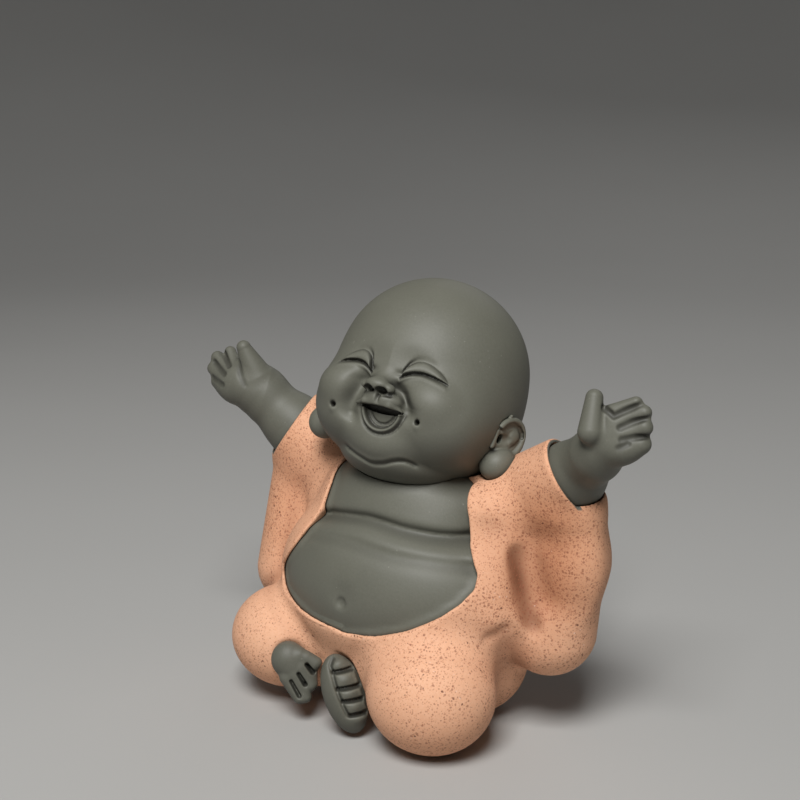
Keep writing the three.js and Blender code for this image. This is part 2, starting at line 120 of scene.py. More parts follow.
def folded(p, shift=0.0):
    q = p.copy()
    q[:, 0] = np.abs(q[:, 0] + shift)
    return q


# The shapes are drawn in millimetres, and this is where the middle of the CAD box lies in them.
middle = np.array([0.0, 2.4082, 0.0])
head_centre = np.array([0.8, 7.4, 62.6])
head_turn = Matrix.Rotation(math.radians(12.5), 3, "Z")
head_nod = Matrix.Rotation(math.radians(-18.5), 3, "X")
head_lean = Matrix.Rotation(math.radians(6.5), 3, "Y")
head_axes = np.array(head_turn @ head_nod @ head_lean)


def ear_shape(p, side):
    q = p.copy()
    q[:, 0] *= side
    facing = np.array([(0.41, 0, 0.91), (0.91, 0, -0.41), (0, 1, 0)])
    q = (q - np.array([18.7, -1.76, -6.65])) @ facing
    q[:, 1] -= 0.12 * q[:, 0]
    across, up, out = q.T
    d = ball(q, (0, 0, -0.6), (3.7, 3.8, 1.5))
    rim = np.hypot(across / 3.3, up / 3.35)
    angle = np.degrees(np.arctan2(up, across))
    rim_end = ease((np.abs(angle - 22.5) - 122) / 14)
    ring = np.hypot((rim - 1) * 3.3, out - 0.45) - 0.62 + 2.0 * rim_end
    d = join(d, ring, 0.35)
    d = join(d, rod(q, (-3.1, 1.2, 0.1), (-3.4, -1.6, 0.0), 0.55), 0.5)
    d = carve(d, ball(q, (0.0, 0.1, 1.15), (2.9, 2.9, 0.8)), 0.3)
    d = join(d, ball(q, (1.2, 0.1, 0.0), (1.5, 1.7, 0.95)), 0.3)
    groove = chain(q, [(-0.9, 1.7, 0.75), (0.5, 2.2, 0.75), (1.7, 2.0, 0.75),
                       (2.65, 1.1, 0.7), (2.85, 0.4, 0.7)])
    d = carve(d, groove - 0.36, 0.2)
    d = carve(d, chain(q, [(2.1, -0.5, 0.9), (1.3, -1.5, 0.8), (0.3, -2.1, 0.7)]) - 0.3, 0.2)
    d = carve(d, ball(q, (-1.2, -0.3, 0.9), (1.5, 1.0, 1.0)), 0.4)
    d = join(d, ball(q, (-0.65, -4.87, -0.37), (3.3, 3.25, 3.2)), 0.4)
    d = join(d, rod(q, (3.1, -1.4, 0.2), (1.6, -4.6, 0.4), 0.62), 0.5)
    d = join(d, rod(q, (-0.9, 3.8, 0.3), (-0.8, 4.1, 0.5), 0.35), 0.2)
    return d, rod(q, (-2.0, -0.2, 2.0), (-2.2, -0.2, -2.5), 0.85)


def skull_shape(p):
    d = ball(p, (0, 1.4, 2.0), (18.2, 18.2, 18.2))
    d = join(d, ball(p, (0, -0.2, -6.5), (16.6, 15.4, 12.6)), 7)
    d = join(d, ball(folded(p), (8.4, -8.6, -6.6), (8.2, 8.6, 8.2)), 4)
    d = join(d, ball(p, (0, -10.4, -12.6), (6.6, 6.2, 4.8)), 3)
    return join(d, ball(p, (0, -5.0, -15.4), (10.8, 9.4, 4.4)), 1.2)


def eyes_shape(p, d, front):
    z = p[:, 2]
    x = np.abs(p[:, 0] + np.clip(0.9 - 0.0875 * (np.abs(p[:, 0]) - 3), 0.1, 0.95))
    across = [3.1, 3.9, 5.0, 6.5, 8.3, 9.9, 11.2]
    top = curve(x, across, [-0.5, 1.5, 2.5, 2.75, 2.15, 1.1, -0.3])
    slit = curve(x, across, [-0.9, -0.2, 0.35, 0.6, 0.4, 0.0, -0.5])
    share = np.clip((z - slit) / np.maximum(top - slit, 0.2), 0, 1)
    ends = ease((x - 2.6) / 1.2) * ease((11.6 - x) / 2.4)
    d = d - front * ends * 0.62 * np.sin(np.pi * share ** 0.8) ** 0.7
    d = d + front * press(np.hypot(beyond(x, 3.1, 10.9) * 1.5, z - slit), 0.24, 0.5)
    upper = press(np.hypot(beyond(x, 3.1, 7.5) * 0.5, z - top - 0.3), 0.6, 0.26)
    d = d + front * upper * (0.45 + 1.3 * ease((6.5 - x) / 3.5))
    return d - front * press(np.hypot(beyond(x, 3.1, 10.9), z - slit + 0.75), 0.35, 0.16)


def mouth_shape(p, d, front):
    m = folded(p, 0.5)
    z = p[:, 2]
    x = p[:, 0] - 0.2
    r = np.hypot(x, z + 7.2)
    low = front * ease((-6.9 - z) / 0.5)
    d = d + front * press(np.hypot(p[:, 0] + 0.2, beyond(z, -6.0, -5.0)), 0.42, 0.55)
    d = join(d, rod(m, (0, -18.5, -6.15), (2.4, -18.3, -6.2), 0.62), 0.5)
    d = join(d, rod(m, (2.4, -18.3, -6.2), (4.5, -16.9, -6.8), 0.6, 0.3), 0.5)
    lip = press(r - 4.25, 0.35, 0.3) - press(r - 3.65, 0.5, 0.5) + 0.5 * ease((3.35 - r) / 0.35)
    tongue = press(r - 3.1, 0.25, 0.25) + press(r - 2.35, 0.22, 0.22) - 0.25 * ease((2.3 - r) / 1.5)
    d = d + low * lip
    d = d + low * tongue
    slot = np.maximum(z + 6.6 + 0.02 * p[:, 0] ** 2, 0.04 * x * x - z - 7.75)
    slot = carve(slot, 4.1 - np.abs(x), 0.5)
    return carve(d, np.maximum(slot, p[:, 1] + 15.6), 0.25)


def head_shape(p_figure):
    p = (p_figure - head_centre) @ head_axes
    x, z = p[:, 0], p[:, 2]
    front = ease((-8 - p[:, 1]) / 3)
    d = skull_shape(p)
    d = carve(d, ball(folded(p, 0.75), (5.5, -20.8, 2.4), (5.5, 3.6, 2.6)), 3)
    d = eyes_shape(p, d, front)
    c = folded(p, 0.8)
    d = join(d, ball(c, (8.6, -14.0, -4.2), (4.8, 4.2, 3.9)), 2)
    fold = curve(z, [-10.5, -9.2, -7.4, -5.8, -4.3, -2.8, -1.8], [4.6, 5.1, 5.4, 5.1, 4.5, 4.0, 3.7])
    left = x > 0
    fold = fold + np.where(left, np.clip(-2.0 - 0.45 * z, -0.7, 0.6), 0.4)
    past = np.where(left, beyond(z, -6.2, -3.6), beyond(z, -8.4, -2.8))
    d = d + front * press(np.hypot(c[:, 0] - fold, past), 1.8, np.where(left, 1.35, 1.7))
    d = join(d, ball(p, (-0.1, -16.9, -5.4), (3.9, 2.6, 1.9)), 1.0)
    n = folded(p, 0.85)
    d = join(d, rod(n, (0, -16.8, -1.6), (0, -18.0, -2.6), 0.9, 1.4), 1.8)
    d = join(d, ball(n, (0, -19.1, -3.0), (2.3, 1.6, 1.3)), 0.8)
    d = join(d, ball(n, (2.3, -18.5, -3.4), (1.0, 1.25, 0.95)), 0.5)
    d = carve(d, ball(n, (1.25, -19.6, -3.9), (1.0, 1.7, 0.6)), 0.3)
    d = carve(d, rod(n, (0, -19.9, -4.4), (2.8, -18.8, -4.35), 0.4), 0.3)
    d = mouth_shape(p, d, front)
    for dx, dz in ((-9.7, -8.1), (7.4, -7.9)):
        d = carve(d, ball(p, (dx, -16.9, dz), (0.38, 1.4, 0.36)), 0.7)
        d = d - front * press(np.hypot(x - dx, z - dz + 1.0), 0.55, 0.14)
    chin = curve(x, [-7.5, -5.5, -3, -0.8, 1.6, 3.8, 5.4, 7.5],
                 [-14.8, -15.6, -16.3, -16.8, -16.4, -15.5, -15.1, -15.4])
    d = d + front * press(np.hypot(beyond(x, -6.6, 6.6) * 0.6, z - chin), 0.42, 0.32)
    for side in (1, -1):
        near = x * side > 10
        ear, hole = ear_shape(p[near], side)
        d[near] = carve(np.maximum(d[near], 0.04 - carve(ear, hole, 0.2)), hole, 0.2)
    return d


def lone_ear(side):
    def shape(figure):
        p = (figure - head_centre) @ head_axes
        ear, hole = ear_shape(p, side)
        return carve(ear, hole, 0.2)

    return shape


def points_of(piece):
    co = np.empty(len(piece.data.vertices) * 3)
    piece.data.vertices.foreach_get("co", co)
    return co.reshape(-1, 3) * 1000 + middle


def put_points(piece, points):
    piece.data.vertices.foreach_set("co", ((points - middle) / 1000).ravel())
    piece.data.update()


def slope_of(shape, p, d):
    nudge = 0.05
    steps = [np.array(s) for s in ((nudge, 0, 0), (0, nudge, 0), (0, 0, nudge))]
    return np.stack([(shape(p + s) - d) / nudge for s in steps], 1)


def settle(piece, shape, rounds=5, reach=0.6, inset=0.05):
    """Moves the skin of a piece onto the modelled shape; what is further off than reach stays."""
    longest_step = 0.3
    margin = 0.004
    p = points_of(piece)
    near = np.abs(shape(p)) < reach
    q = p[near]
    for _ in range(rounds):
        d = shape(q)
        g = slope_of(shape, q, d)
        step = (d + inset)[:, None] * g / np.maximum((g ** 2).sum(1), 0.25)[:, None]
        size = np.sqrt((step ** 2).sum(1))
        q = q - step * np.minimum(1, longest_step / np.maximum(size, 1e-9))[:, None]
    p[near] = q
    low, high = (np.array(corner) * 1000 + middle for corner in cad_box)
    put_points(piece, np.clip(p, low + margin, high - margin))


def mark(piece, name, values):
    layer = piece.data.attributes.new(name, "FLOAT", "POINT")
    layer.data.foreach_set("value", values.astype(np.float32))


def mark_painted_shade(piece, shape, height=0.9, under=0.35, least=0.0):
    """Stores the painted shade of each point: how deep in a crease or under a lump it lies, where shade
    falls, with least added all over.
    """
    p = points_of(piece)
    d = shape(p)
    g = slope_of(shape, p, d)
    steep = np.maximum(np.sqrt((g ** 2).sum(1)), 0.2)
    free = (shape(p + g / steep[:, None] * height) - d) / (height * steep)
    # painted shade on faces turned downward, away from the lamp above
    shade_below = under * ease((0.3 - g[:, 2] / steep) / 1.1)
    mark(piece, "painted_shade", np.clip(1 - free + shade_below + least, 0, 1))


def only(piece):
    bpy.ops.object.select_all(action="DESELECT")
    piece.select_set(True)
    bpy.context.view_layer.objects.active = piece


def regrain(piece, size):
    """One even fine mesh over the whole lump, as clay kneaded into one piece."""
    only(piece)
    grain = piece.modifiers.new("grain", "REMESH")
    grain.mode = "VOXEL"
    grain.voxel_size = size / 1000
    grain.use_smooth_shade = True
    bpy.ops.object.modifier_apply(modifier=grain.name)


def samples_of(shape, low, grain, counts, block):
    """How far the points of a fine lattice lie from a shape, worked out only near its skin."""
    blocks = [c // block for c in counts]
    place = np.stack(np.meshgrid(*[np.arange(b) for b in blocks], indexing="ij"), -1).reshape(-1, 3)
    rough = shape(low + (place * block + (block - 1) / 2) * grain).reshape(blocks)
    values = rough.repeat(block, 0).repeat(block, 1).repeat(block, 2)
    near_skin = 1.4 * block * grain
    batch = 200000
    index = np.argwhere(np.abs(values) < near_skin)
    for part in np.array_split(index, len(index) // batch + 1):
        values[tuple(part.T)] = shape(low + part * grain)
    for axis in range(3):
        for end in (0, -1):
            np.moveaxis(values, axis, 0)[end] = 1.0
    return values


def modelled(name, shape, low, high, grain, most=190000):
    """A closed fine mesh over a modelled shape: a vertex in each lattice cell that the skin crosses."""
    grain = grain * 1
    block = 4
    low = np.array(low, float)
    counts = [int(math.ceil((h - l) / grain / block)) * block for l, h in zip(low, high)]
    values = samples_of(shape, low, grain, counts, block)
    inside = values < 0
    cells = [c - 1 for c in counts]
    corners = [(i, j, k) for i in (0, 1) for j in (0, 1) for k in (0, 1)]
    held = sum(inside[i:i + cells[0], j:j + cells[1], k:k + cells[2]].astype(np.int8)
               for i, j, k in corners)
    index = np.argwhere((held > 0) & (held < 8))
    number = np.full(cells, -1)
    number[tuple(index.T)] = np.arange(len(index))
    total = np.zeros((len(index), 3))
    found = np.zeros(len(index))
    quads = []
    for axis in range(3):
        ahead = np.eye(3, dtype=int)[axis]
        side_a = np.eye(3, dtype=int)[(axis + 1) % 3]
        side_b = np.eye(3, dtype=int)[(axis + 2) % 3]
        for start in (0 * ahead, side_a, side_b, side_a + side_b):
            v0 = values[tuple((index + start).T)]
            v1 = values[tuple((index + start + ahead).T)]
            crossed = (v0 < 0) != (v1 < 0)
            share = np.where(crossed, v0 / np.where(crossed, v0 - v1, 1), 0)
            total += crossed[:, None] * (start + share[:, None] * ahead)
            found += crossed
        v0 = inside[tuple(index.T)]
        v1 = inside[tuple((index + ahead).T)]
        for flip in (True, False):
            edge = index[(v0 != v1) & (v0 == flip)]
            ring = [edge, edge - side_a, edge - side_a - side_b, edge - side_b]
            quad = np.stack([number[tuple(cell.T)] for cell in ring], 1)
            quads.append(quad if flip else quad[:, ::-1])
    points = low + (index + total / found[:, None]) * grain
    mesh = bpy.data.meshes.new(name)
    mesh.from_pydata(((points - middle) / 1000).tolist(), [], np.concatenate(quads).tolist())
    piece = bpy.data.objects.new(name, mesh)
    bpy.context.scene.collection.objects.link(piece)
    settle(piece, shape, rounds=3, reach=1)
    triangles = 2 * len(mesh.polygons)
    if triangles > most:
        only(piece)
        thin = piece.modifiers.new("thin", "DECIMATE")
        thin.ratio = most / triangles
        bpy.ops.object.modifier_apply(modifier=thin.name)
    return piece


head = modelled("head_clay", head_shape, (-22, -16, 40), (24, 30, 84), 0.2)
# Painted shade in the face's pressed lines and, stronger than on other pieces, under the chin, nose and
# brows.
mark_painted_shade(head, head_shape, 1.2, under=0.5)
ears = []
ear_reach = 8.5
for side, word in ((1, "left"), (-1, "right")):
    centre = head_axes @ np.array([side * 18.5, -2.2, -8.5]) + head_centre
    ear = modelled("ear_clay_" + word, lone_ear(side), centre - ear_reach, centre + ear_reach, 0.15)
    mark_painted_shade(ear, lone_ear(side))
    ears.append(ear)


class Value:
    """A socket that adds a Math node for each operator put on it."""

    def __init__(self, tree, socket):
        self.tree, self.socket = tree, socket

    def math(self, operation, *others):
        return self.tree.add("ShaderNodeMath", {"operation": operation}, dict(enumerate((self,) + others)))

    def __add__(self, other):
        return self.math("ADD", other)

    __radd__ = __add__

    def __mul__(self, other):
        return self.math("MULTIPLY", other)

    __rmul__ = __mul__

    def __sub__(self, other):
        return self.math("SUBTRACT", other)

    def __rsub__(self, other):
        return self.tree.add("ShaderNodeMath", {"operation": "SUBTRACT"}, {0: other, 1: self})

    def clamped(self):
        return self.tree.add("ShaderNodeMath", {"operation": "ADD", "use_clamp": True}, {0: self, 1: 0.0})


class Finish:
    """A material and the one way its nodes are added."""

    def __init__(self, name):
        self.material = bpy.data.materials.new(name)
        self.material.use_nodes = True
        self.nodes = self.material.node_tree.nodes
        self.links = self.material.node_tree.links
        self.shader = self.nodes["Principled BSDF"]

    def add(self, kind, settings=(), inputs=(), output=0):
        node = self.nodes.new(kind)
        for key, value in dict(settings).items():
            setattr(node, key, value)
        for key, value in dict(inputs).items():
            self.feed(node.inputs[key], value)
        return Value(self, node.outputs[output])

    def feed(self, socket, value):
        if isinstance(value, Value):
            self.links.new(value.socket, socket)
        else:
            socket.default_value = value

    def surface(self, **inputs):
        for key, value in inputs.items():
            self.feed(self.shader.inputs[key.replace("_", " ")], value)

    def noise(self, scale, detail=2.0, rough=0.5, output=0):
        place = self.add("ShaderNodeTexCoord", output="Object")
        return self.add("ShaderNodeTexNoise", {"noise_dimensions": "3D"},
                        {"Vector": place, "Scale": scale, "Detail": detail, "Roughness": rough}, output)

    def mix(self, factor, a, b):
        return self.add("ShaderNodeMix", {"data_type": "RGBA"}, {0: factor, 6: a, 7: b}, 2)


dark_clay = Finish("dark_clay")
cloud = dark_clay.noise(95, 3)
grain = dark_clay.noise(2600, 3, 0.6)
sparse = dark_clay.noise(1500, 1)
dark_colour = dark_clay.mix(cloud, (0.099, 0.099, 0.077, 1), (0.130, 0.130, 0.101, 1))
dark_colour = dark_clay.mix((grain - 0.5) * 0.7 + 0.25, dark_colour, (0.165, 0.163, 0.133, 1))
pale_specks = ((sparse - 0.76) * 14).clamped()
dark_colour = dark_clay.mix(pale_specks * 0.4, dark_colour, (0.36, 0.35, 0.30, 1))
# Painted shade: the clay turns near black in creases and on faces turned down under lumps.
painted_shade = dark_clay.add("ShaderNodeAttribute", {"attribute_name": "painted_shade"}, output="Fac")
dark_colour = dark_clay.mix((painted_shade * 0.95).clamped(), dark_colour, (0.028, 0.027, 0.021, 1))
relief = dark_clay.add("ShaderNodeBump", {}, {"Strength": 0.3, "Distance": 0.00006, "Height": grain})
dark_clay.surface(Base_Color=dark_colour, Roughness=(cloud * 0.12 + 0.50), Normal=relief)
dark_clay.shader.inputs["Specular IOR Level"].default_value = 0.45


def dress(piece, finish, slot_name, *nodes):
    piece.data.materials.clear()
    piece.data.materials.append(finish.material)
    only(piece)
    bpy.ops.object.shade_smooth()
    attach(piece, "root")
    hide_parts(*nodes)


dress(head, dark_clay, "dark_clay", "head")
for ear, word in zip(ears, ("left", "right")):
    dress(ear, dark_clay, "dark_clay", "ear_" + word)


# The torso: a bare round belly and chest of the same dark clay, sitting inside the robe.
# Two soft folds run over the chest, and the navel is pressed in with a round stick.
def belly_mass(p):
    belly = ball(p, (0, 1.5, 25.5), (25.0, 18.8, 17.5))
    return join(belly, ball(p, (0, 4.0, 40.5), (17.8, 12.972, 9.5)), 4)


def opening_side(p):
    """How far points lie inside the edge of the robe's front opening, seen from the front."""
    lowest = 20.6
    heights = np.arange(18.0, 68.0, 0.1)
    left = np.interp(heights,
                     [20.6, 20.9, 22.1, 23.4, 25.1, 26.4, 28.4, 30.7, 33, 37.4, 42.2, 47.1, 60],
                     [-3, 5.5, 9.8, 13.4, 16.5, 18.5, 20.7, 22, 21.8, 19, 17.8, 15.5, 15.5])
    right = np.interp(heights,
                      [20.6, 20.9, 21.2, 21.6, 22.7, 23.6, 25.5, 27.4, 32.7, 36.7, 39, 43.6, 47.1, 60],
                      [-3, 1.1, 5.1, 11.4, 15.8, 19.0, 20.3, 19.9, 15.4, 13, 12, 12.1, 13.4, 13.4])
    soften = np.ones(9) / 9
    depth = np.full(len(p), 9.0)
    for side, widths in ((1, left), (-1, right)):
        widths = np.convolve(np.pad(widths, 4, "edge"), soften, "valid")
        widths = widths - 40 * np.maximum(lowest - heights, 0)
        lean = np.hypot(1, np.gradient(widths, heights))
        mine = p[:, 0] * side >= 0
        z = p[mine, 2]
        depth[mine] = (p[mine, 0] * side - np.interp(z, heights, widths)) / np.interp(z, heights, lean)
    return depth


def torso_shape(p):
    x, y, z = p.T
    d = join(belly_mass(p), rod(p, (0, 5, 44), (0, 6, 52), 12, 10), 4)
    front = ease((3 - y) / 5)
    upper = curve(x, [-16, -9.5, -3.7, 1.1, 7.5, 15.5, 20], [37.0, 38.5, 39.5, 39.8, 39.0, 37.9, 37.4])
    lower = curve(x, [-16, -6.5, -1.2, 6.7, 14.5, 22], [34.6, 35.9, 36.1, 35.4, 34.8, 33.4])
    folds = press(z - upper, 1.25, 1.15) + press(z - lower, 1.3, 0.55) - press(z - upper + 2.2, 1.6, 0.35)
    d = d + front * folds
    d = d + front * press(np.hypot((x + 0.4) / 2.6, (z - 27.6) / 2.2), 1, 0.45)
    d = carve(d, ball(p, (-0.5, -18.2, 25.9), (1.2, 1.9, 1.1)), 0.9)
    return d - front * press(opening_side(p), 1.1, 0.45)


def copy_of(node, name):
    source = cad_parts[node]
    piece = source.copy()
    piece.data = source.data.copy()
    piece.parent = None
    piece.name = name
    for key in list(piece.keys()):
        del piece[key]
    bpy.context.scene.collection.objects.link(piece)
    only(piece)
    bpy.ops.object.mode_set(mode="EDIT")
    bpy.ops.mesh.select_all(action="SELECT")
    bpy.ops.mesh.remove_doubles(threshold=1e-6)
    bpy.ops.object.mode_set(mode="OBJECT")
    return piece


torso = copy_of("torso", "torso_clay")
regrain(torso, 0.33)
settle(torso, torso_shape, rounds=7, reach=1.6, inset=0.0)
mark_painted_shade(torso, torso_shape, 1.2)
dress(torso, dark_clay, "dark_clay", "torso")


# The arms: thick forearms thrown up out of the sleeves, with small plump mitten hands.
# The fingers are one flat lump with pressed lines between them; the thumb stands apart.
def arm_shape(side):
    if side > 0:
        parts = (((42.7, 1.4, 59.2), (40.4, 2.3, 55.8), 3.5, 3.7),
                 ((46.4, 1.3, 58.6), (41.8, 1.8, 57.6), 2.1, 3.2))
        fingers = (((43.7, 0.7, 64.3), (47.5, 2.2, 66.2), 1.4, 1.15),
                   ((45.1, 0.9, 62.9), (49.0, 2.4, 64.7), 1.5, 1.3),
                   ((45.9, 1.0, 61.0), (49.2, 2.1, 62.3), 1.7, 1.55),
                   ((46.2, 1.1, 58.4), (49.0, 1.9, 59.5), 2.1, 1.65))
        fill = ((42.9, 1.5, 61.2), (44.2, 1.7, 62.2), 2.9)
        thumb = ((41.5, -2.1, 61.2), (41.0, -0.2, 66.6), 2.2, 1.55, 0.8)
        lines = (((43.0, -0.3, 65.2), (45.0, -0.6, 64.1), (46.8, 0.5, 65.2), (48.9, 1.8, 66.4)),
                 ((46.4, -0.9, 62.4), (48.1, 0.5, 63.4), (50.3, 1.9, 64.2)),
                 ((47.0, -1.3, 60.5), (48.7, 0.0, 60.9), (50.6, 2.2, 61.0)),
                 ((46.7, -1.9, 59.1), (47.9, -0.9, 59.9)))
    else:
        parts = (((41.2, 1.4, 58.1), (38.9, 3.9, 56.7), 3.6, 4.9),
                 ((44.5, 0.6, 57.6), (41.8, 1.6, 57.6), 1.9, 3.2))
        fingers = (((43.0, 0.7, 60.5), (46.2, 2.4, 64.0), 1.6, 1.25),
                   ((43.5, -0.1, 59.3), (48.8, 1.3, 62.7), 1.7, 1.4),
                   ((44.1, -0.6, 57.8), (49.2, 0.5, 60.5), 1.7, 1.4),
                   ((43.6, -0.3, 56.4), (47.8, 0.0, 57.9), 1.7, 1.3))
        fill = ((42.4, 1.6, 59.6), (44.8, 2.2, 60.8), 2.4)
        thumb = ((38.9, 2.4, 60.1), (40.7, 0.7, 65.8), 3.2, 1.5, 1.2)
        lines = (((42.3, 0.4, 64.5), (40.7, -0.9, 62.2), (39.2, -1.8, 60.2), (38.2, -1.9, 58.7)),
                 ((46.8, 1.2, 63.9), (45.3, 0.3, 62.9), (43.4, -0.9, 61.9)),
                 ((48.2, -0.3, 62.2), (46.1, -1.1, 61.2), (43.7, -2.1, 60.4)),
                 ((47.8, -1.5, 59.1), (45.4, -2.5, 58.8), (43.6, -2.9, 58.3)))

    def shape(figure):
        p = figure * np.array([side, 1, 1])
        d = rod(p, (27.5, 7.9, 44.5), (32.7, 6.8, 50.0), 6.3, 6.0)
        d = join(d, rod(p, (32.7, 6.8, 50.0), (38.9, 3.8, 55.6), 6.0, 4.6), 2)
        for start, end, r0, r1 in parts:
            d = join(d, rod(p, start, end, r0, r1), 3)
        hand = rod(p, fill[0], fill[1], fill[2])
        for start, end, r0, r1 in fingers:
            hand = join(hand, rod(p, start, end, r0, r1), 1.1)
        d = join(d, hand, 2.5)
        d = join(d, rod(p, *thumb[:4]), thumb[4])
        tips = 1 - 0.7 * ease((np.sqrt(((p - np.array(fill[0])) ** 2).sum(1)) - 5.8) / 2.2)
        for line in lines:
            d = d + tips * press(chain(p, line), 0.42, 0.8)
        return d

    return shape


for side, word in ((1, "left"), (-1, "right")):
    ends = sorted((side * 20, side * 53))
    arm = modelled("arm_clay_" + word, arm_shape(side), (ends[0], -7, 36), (ends[1], 17, 70), 0.2)
    # Painted shade in the finger lines and under the arms, with a little more laid over the whole arm.
    mark_painted_shade(arm, arm_shape(side), least=0.08)
    dress(arm, dark_clay, "dark_clay", "arm_" + word)


# The feet: two bare feet tucked between the knees, one sole up with its toes in a row,
# the other seen from above; toes are parted with short pressed lines.
left_foot_place = (-0.3, -16.5, 8.8)
foot_facing = (0.601, -0.769, 0.216)


def left_foot_shape(figure):
    p = turned(figure, left_foot_place, foot_facing, (0.707, 0.638, 0.305))
    near = ease((p[:, 2] - 0.2) / 1.2)
    flat = p * np.array([1, 1, 0])
    d = ball(p, (-0.1, -0.6, 0), (4.0, 7.6, 3.4))
    for x0, y0, x1, y1 in ((-0.48, 4.06, 2.68, 3.6), (-0.65, 0.99, 2.96, 0.39),
                           (-0.46, -1.41, 2.64, -2.04), (-0.04, -4.28, 2.54, -4.73)):
        d = d + near * press(chain(flat, [(x0, y0, 0), (x1, y1, 0)]), 0.38, 0.9)
    for x, y in ((0.9, 5.4), (1.3, 2.3), (1.2, -0.4), (1.3, -3.1), (1.3, -5.6)):
        d = d - near * press(np.hypot((p[:, 0] - x) / 1.5, (p[:, 1] - y) / 0.8), 1, 0.28)
    sole = [(-0.1, 6.3, 0), (-0.8, 5.3, 0), (-0.85, 3.4, 0),
            (-0.95, 0.7, 0), (-0.8, -1.9, 0), (-0.5, -4.0, 0)]
    d = d + near * press(chain(flat, sole), 0.45, 0.5)
    return d + near * 0.45 * ease((p[:, 0] - 2.9) / 0.7)


def right_foot_shape(figure):
    p = turned(figure, (-11.6, -17.6, 10.2), foot_facing, (0.788, 0.616, 0))
    near = ease((p[:, 2] + 0.4) / 1.0)
    flat = p * np.array([1, 1, 0])
    instep = rod(p, (-1.1, 2.0, -0.5), (0.7, -2.4, -0.3), 2.4, 2.0)
    d = join(ball(p, (-1.1, 2.0, 0), (3.2, 3.4, 2.5)), instep, 1.5)
    d = join(d, ball(p, (0.7, 0.2, 0.2), (2.8, 3.6, 1.9)), 1.2)
    for x0, y0, x1, y1, r in ((1.2, 3.0, 3.7, 1.2, 1.2), (2.6, 2.6, 4.4, 1.6, 0.9),
                              (1.6, 0.6, 3.1, -2.7, 1.2),
                              (0.2, -0.9, 2.2, -4.9, 1.2), (-1.5, -1.5, 0.9, -5.1, 1.1)):
        d = join(d, rod(p, (x0, y0, 0.9), (x1, y1, 0.8), r), 0.9)
    d = join(d, rod(p, (3.4, 1.0, 0.2), (3.3, -2.4, 0.2), 1.1), 0.9)
    for x0, y0, x1, y1, deep in ((2.5, 1.3, 3.6, -0.2, 0.8), (1.0, -0.4, 2.2, -2.4, 0.8),
                                 (-0.4, -1.8, 1.1, -4.6, 0.6)):
        slot = rod(flat, (x0, y0, 0), (x1, y1, 0), 0, 0.08)
        d = d + near * press(np.maximum(slot, 0), 0.3, deep)
    return np.maximum(d, 0.12 - left_foot_shape(figure))


foot_reach = 9.6
for shape, place, word in ((left_foot_shape, left_foot_place, "left"),
                           (right_foot_shape, (-10.6, -17.6, 9.5), "right")):
    place = np.array(place)
    foot = modelled("foot_clay_" + word, shape, place - foot_reach, place + foot_reach, 0.15)
    # Painted shade between the toes and on the undersides, with more laid over the whole foot.
    mark_painted_shade(foot, shape, least=0.22)
    dress(foot, dark_clay, "dark_clay", "foot_" + word)


# The robe: a layer of orange clay laid over the figure, open from the neck to the lap,
# with two hanging sleeves and two knees. It is unglazed and speckled with darker grains, the
# left sleeve is pressed in beside the body, and the sleeve ends show a rim of dark clay.
sleeve_end = np.array([32.7, 7.0, 50.3])
sleeve_facing = {1: (0.814, 0.231, 0.533), -1: (-0.721, -0.406, 0.562)}


def drapes(figure):
    left = rod(figure, (32.4, 7.7, 42.4), (31.0, 8.5, 34.0), 6.6, 7.4)
    left = join(left, rod(figure, (31.0, 8.5, 34.0), (28, 8.6, 20.2), 7.4, 8.8), 4)
    return np.minimum(left, rod(figure, (-31.3, 8.4, 41.0), (-31.4, 6.0, 20.2), 6.6, 8.6))


